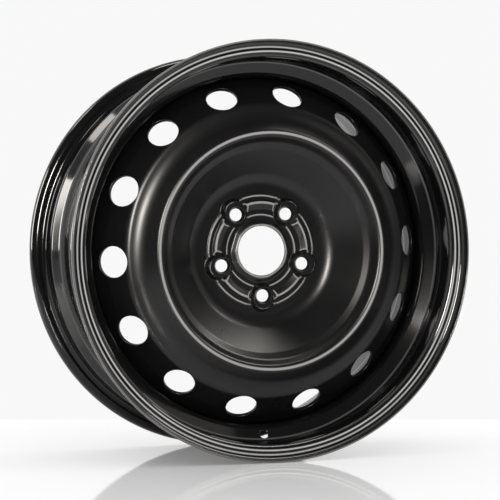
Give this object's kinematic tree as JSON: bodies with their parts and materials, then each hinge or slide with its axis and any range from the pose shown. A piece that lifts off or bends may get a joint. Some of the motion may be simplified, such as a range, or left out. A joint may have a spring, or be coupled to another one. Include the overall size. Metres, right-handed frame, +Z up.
{
  "type": "steel wheel rim",
  "caption": "Stamped steel road wheel with a dished centre disc, round vent holes and a drop-centre rim, made to carry a tyre and bolt to a hub.",
  "frame": {"origin": "on the axle, at the hub mounting face on the back of the disc", "axes": "+Y along the axle towards the vehicle, so the outboard face looks to -Y; +Z up as the wheel stands"},
  "size_m": [0.497, 0.2164, 0.4968],
  "materials": {
    "rim_paint": "gloss black paint over rolled steel",
    "disc_paint": "semi-gloss black paint over pressed steel, with a fine orange-peel grain",
    "weld_paint": "black paint over rippled fillet welds"
  },
  "bodies": {
    "root": {"rim": "rim_paint", "disc": "disc_paint", "weld_beads": "weld_paint"}
  },
  "joints": []
}
